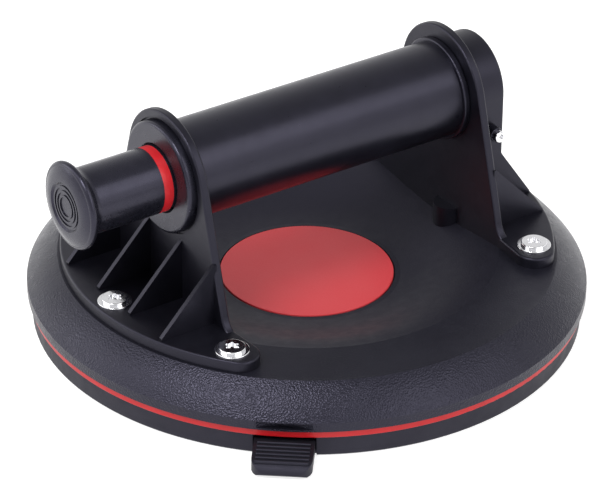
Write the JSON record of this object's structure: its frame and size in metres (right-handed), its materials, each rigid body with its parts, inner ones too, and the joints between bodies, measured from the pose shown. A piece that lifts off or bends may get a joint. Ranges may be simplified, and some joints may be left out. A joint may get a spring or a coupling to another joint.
{
  "type": "vacuum suction cup",
  "caption": "Hand-held vacuum lifter: wide rubber suction pad under a moulded cover, tubular grip with a built-in pump plunger, release valve and pull tab.",
  "frame": {"origin": "centre of the rubber pad's sealing face, on the surface that is gripped", "axes": "+Z away from the gripped surface, X along the grip with the pump plunger at -X, +Y towards the side without the release valve button"},
  "size_m": [0.2, 0.2, 0.0959],
  "materials": {
    "rubber": "satin moulded rubber",
    "accent_red": "gloss moulded plastic",
    "steel": "zinc plated",
    "shell_plastic": "fine spark-eroded grain",
    "label": "printed film under a clear coat",
    "brass": "turned",
    "chrome": "polished",
    "bracket_plastic": "satin moulded glass-filled nylon",
    "grip_plastic": "satin extruded plastic",
    "liner_plastic": "smooth natural acetal",
    "collar_plastic": "satin turned plastic",
    "seal_rubber": "smooth nitrile rubber",
    "spring_steel": "oiled spring wire",
    "filter_felt": "pressed felt",
    "plunger_plastic": "satin turned plastic",
    "band_red": "painted line"
  },
  "bodies": {
    "base": {"rubber_pad": "rubber", "accent_ring": "accent_red", "backing_plate": "steel", "cover": "shell_plastic", "label_disc": "label", "pad_screws": "steel", "threaded_inserts": "brass", "bracket_washers": "chrome", "bracket_screws": "chrome", "pump_bracket": "bracket_plastic", "valve_bracket": "bracket_plastic", "grip_tube": "grip_plastic", "grip_end_rings": "grip_plastic", "pump_liner": "liner_plastic", "guide_collar": "collar_plastic", "collar_wiper": "seal_rubber", "end_plug": "liner_plastic", "end_plug_oring": "seal_rubber", "check_valve_cage": "liner_plastic", "check_valve_spring": "spring_steel", "release_valve_sleeve": "collar_plastic", "release_valve_spring": "spring_steel", "air_tube": "brass", "air_tube_oring": "seal_rubber", "port_filter": "filter_felt", "plunger_spring": "spring_steel"},
    "plunger": {"plunger_tube": "plunger_plastic", "plunger_knob": "plunger_plastic", "indicator_band": "band_red", "piston_head": "liner_plastic", "piston_seal": "seal_rubber", "piston_pin": "steel"},
    "poppet": {"check_valve_poppet": "seal_rubber"},
    "release_valve": {"release_button": "chrome", "release_valve_seal": "seal_rubber"},
    "tab": {"release_tab": "rubber"}
  },
  "joints": [
    {"name": "plunger_slide", "type": "slide", "parent": "base", "child": "plunger", "axis": [1, 0, 0], "range_m": [0, 0.028], "stiffness_N_per_m": 350, "springref_m": -0.012, "deforming": ["plunger_spring"]},
    {"name": "check_valve_lift", "type": "slide", "parent": "base", "child": "poppet", "axis": [-1, 0, 0], "range_m": [0, 0.0012], "stiffness_N_per_m": 100, "springref_m": -0.001, "deforming": ["check_valve_spring"]},
    {"name": "release_button_press", "type": "slide", "parent": "base", "child": "release_valve", "axis": [0, 1, 0], "range_m": [0, 0.0015], "stiffness_N_per_m": 600, "springref_m": -0.002, "deforming": ["release_valve_spring"]},
    {"name": "tab_lift", "type": "hinge", "parent": "base", "child": "tab", "pos_m": [-0.06057, -0.07615, 0.0037], "axis": [-0.7826, 0.6225, 0], "range_deg": [0, 18], "stiffness_Nm_per_rad": 0.3}
  ]
}
